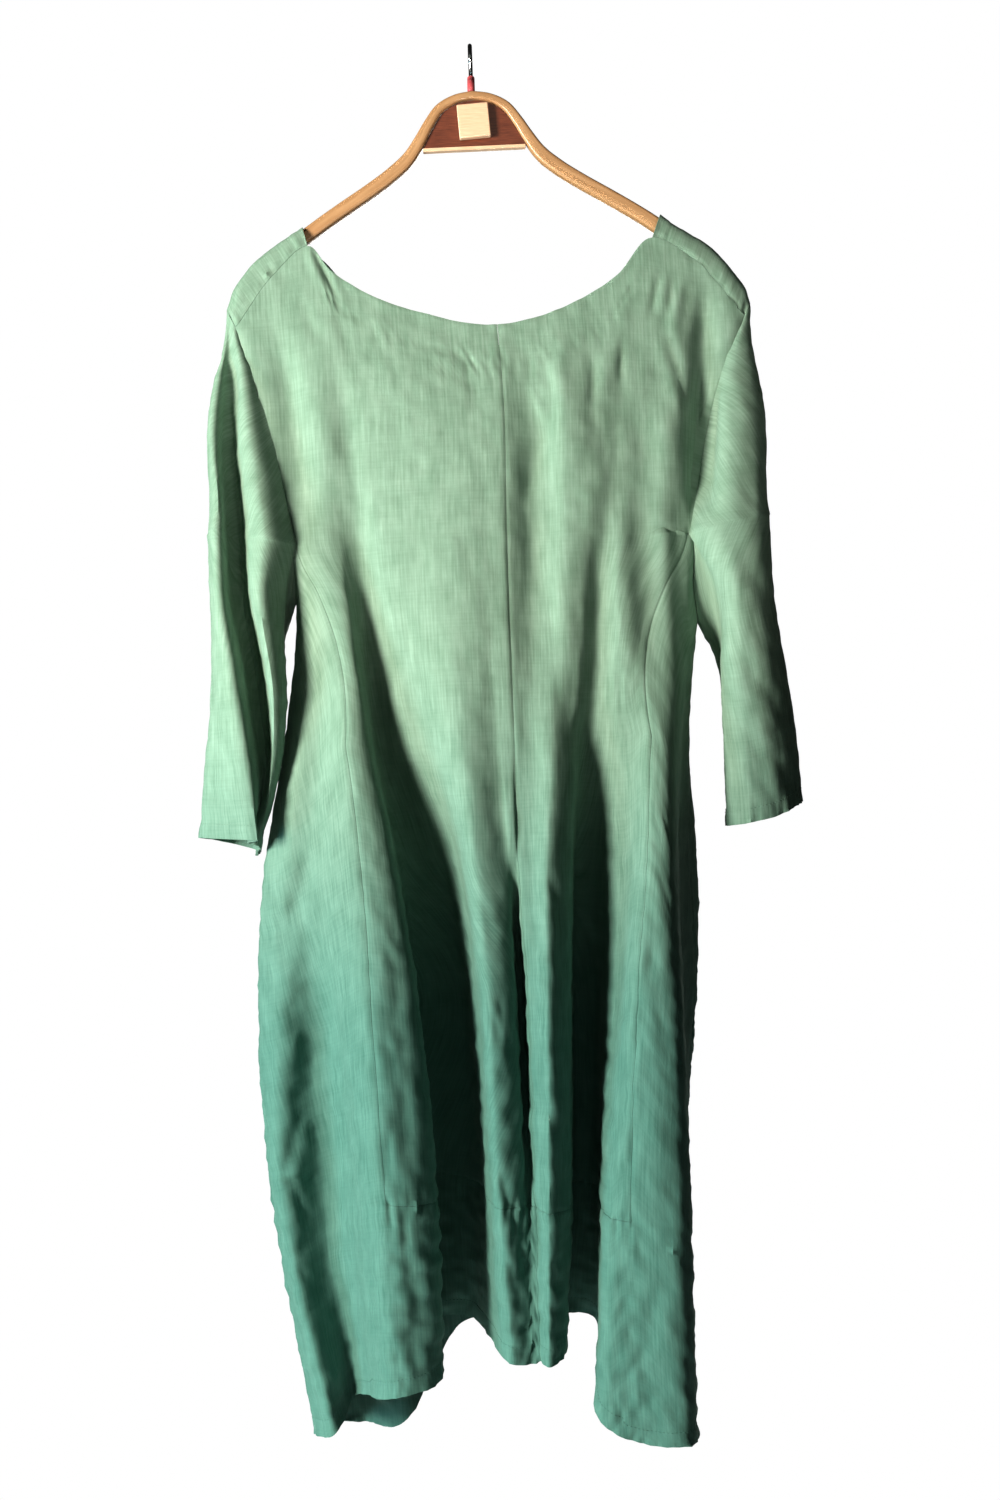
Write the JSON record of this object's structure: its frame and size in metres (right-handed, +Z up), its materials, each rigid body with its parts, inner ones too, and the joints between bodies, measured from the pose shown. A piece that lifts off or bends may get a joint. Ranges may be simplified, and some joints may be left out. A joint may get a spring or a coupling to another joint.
{
  "type": "linen dress on a hanger",
  "caption": "Long-sleeved linen dress with a wide round neck, soft vertical folds and a gathered hem band, hanging on a bent wooden clothes hanger.",
  "frame": {"origin": "the top of the inside of the hanger's hook, where a rail carries it", "axes": "+Z up, +X to the right of a front view, +Y from the dress's front to its back; the front faces -Y"},
  "size_m": [0.5195, 0.2138, 1.2195],
  "materials": {
    "linen": "sea green washed linen, matt",
    "wood": "varnished light wood",
    "dark_wood": "red-brown stained board",
    "pale_wood": "pale bare wood",
    "steel": "bright wire",
    "grip": "red soft plastic"
  },
  "bodies": {
    "root": {"front_left": "linen", "front_right": "linen", "side_left": "linen", "side_right": "linen", "back": "linen", "shoulder_left": "linen", "shoulder_right": "linen", "sleeve_left": "linen", "sleeve_right": "linen", "hanger_bow": "wood", "hanger_panel": "dark_wood", "hanger_batten": "pale_wood", "hanger_block": "pale_wood", "hook": "steel", "hook_grip": "grip"}
  },
  "joints": []
}
